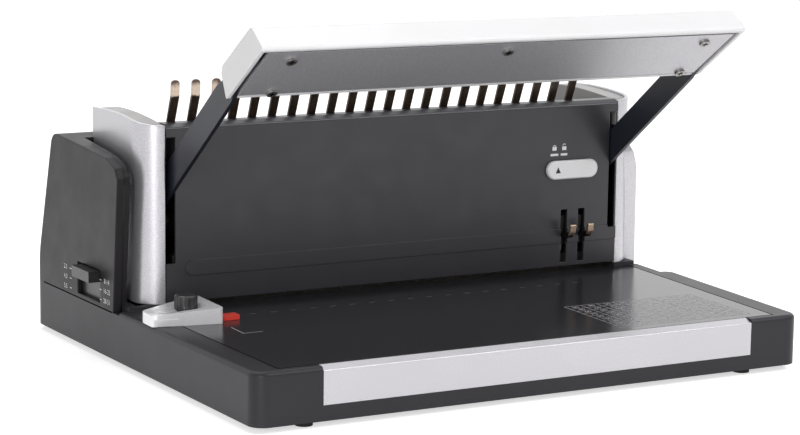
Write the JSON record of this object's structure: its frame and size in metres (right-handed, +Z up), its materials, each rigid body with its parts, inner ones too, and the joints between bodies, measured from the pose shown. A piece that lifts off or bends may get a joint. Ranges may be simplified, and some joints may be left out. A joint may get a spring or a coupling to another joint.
{
  "type": "comb binding machine",
  "caption": "Desktop comb binding machine: full-width handle drives a row of punch pins and opens combs on upright fingers; waste drawer, gauge, lock and guides.",
  "frame": {"origin": "on the desk, under the middle of the base", "axes": "+X to the user's right, +Y from the user to the back, +Z up"},
  "size_m": [0.4215, 0.33, 0.2294],
  "materials": {
    "dark_abs": "moulded, fine grain",
    "grey_abs": "moulded, fine grain",
    "silver_paint": "satin silver paint",
    "light_abs": "moulded satin",
    "white_abs": "moulded semi-gloss",
    "red_abs": "moulded",
    "black_abs": "moulded semi-gloss",
    "rubber": "matte",
    "steel": "zinc plated",
    "dark_steel": "dark powder coat",
    "bright_steel": "nickel plated",
    "nylon": "moulded natural nylon"
  },
  "bodies": {
    "base": {"base_shell": "dark_abs", "rubber_feet": "rubber", "table_plate": "dark_abs", "side_frame_right": "steel", "side_frame_left": "steel", "die_plate": "steel", "guide_plate": "steel", "chip_chute": "dark_abs", "front_panel": "dark_abs", "column_shell_right": "silver_paint", "column_shell_left": "silver_paint", "cheek_cap_right": "light_abs", "cheek_cap_left": "light_abs", "side_cover_left": "grey_abs", "side_cover_right": "grey_abs", "rear_cover": "grey_abs", "trough_plate": "dark_steel", "finger_plate": "dark_steel", "comb_fingers": "bright_steel", "idler_pins": "steel", "edge_guide_housing": "silver_paint"},
    "handle": {"handle_shell": "white_abs", "handle_under_plate": "steel", "handle_arm_right": "dark_steel", "handle_arm_left": "dark_steel", "handle_screws": "steel", "main_shaft": "steel", "punch_cams": "steel", "sector_gears": "steel"},
    "idlers": {"idler_gears": "nylon"},
    "opener": {"opener_racks": "steel", "hook_plate": "steel", "comb_hooks": "bright_steel"},
    "punch": {"punch_bar": "steel", "punch_pins": "steel"},
    "drawer": {"drawer_front": "silver_paint", "chip_tray": "black_abs"},
    "lock": {"lock_slider": "white_abs"},
    "gauge": {"comb_gauge": "bright_steel"},
    "depth": {"depth_slider": "black_abs"},
    "stop": {"back_stop": "steel"},
    "guide": {"edge_stop": "red_abs"},
    "knob": {"edge_knob": "black_abs"}
  },
  "joints": [
    {"name": "handle_hinge", "type": "hinge", "parent": "base", "child": "handle", "pos_m": [0, 0.072, 0.0856], "axis": [1, 0, 0], "range_deg": [0, 42]},
    {"name": "punch_slide", "type": "slide", "parent": "base", "child": "punch", "axis": [0, 0, -1], "range_m": [0, 0.0096]},
    {"name": "idler_turn", "type": "hinge", "parent": "base", "child": "idlers", "pos_m": [0, 0.072, 0.1216], "axis": [1, 0, 0], "range_deg": [-126.5, 0.5]},
    {"name": "opener_slide", "type": "slide", "parent": "base", "child": "opener", "axis": [0, 1, 0], "range_m": [0, 0.0199]},
    {"name": "drawer_slide", "type": "slide", "parent": "base", "child": "drawer", "axis": [0, -1, 0], "range_m": [0, 0.165]},
    {"name": "lock_slide", "type": "slide", "parent": "base", "child": "lock", "axis": [1, 0, 0], "range_m": [0, 0.0077]},
    {"name": "gauge_slide", "type": "slide", "parent": "base", "child": "gauge", "axis": [0, 0, 1], "range_m": [-0.015, 0.009]},
    {"name": "depth_slide", "type": "slide", "parent": "base", "child": "depth", "axis": [0, 0, -1], "range_m": [0, 0.0125]},
    {"name": "back_stop_slide", "type": "slide", "parent": "base", "child": "stop", "axis": [0, -1, 0], "range_m": [0, 0.0041]},
    {"name": "guide_slide", "type": "slide", "parent": "base", "child": "guide", "axis": [1, 0, 0], "range_m": [-0.0156, 0.0045]},
    {"name": "knob_turn", "type": "hinge", "parent": "guide", "child": "knob", "pos_m": [-0.174, -0.018, 0.045], "axis": [0, 0, 1], "range_deg": [0, 90]}
  ],
  "couplings": [
    {"joint": "punch_slide", "follows": "handle_hinge", "m_per_rad": 0.01296},
    {"joint": "idler_turn", "follows": "handle_hinge", "ratio": -3},
    {"joint": "opener_slide", "follows": "handle_hinge", "m_per_rad": 0.027},
    {"joint": "back_stop_slide", "follows": "depth_slide", "ratio": 0.32}
  ]
}
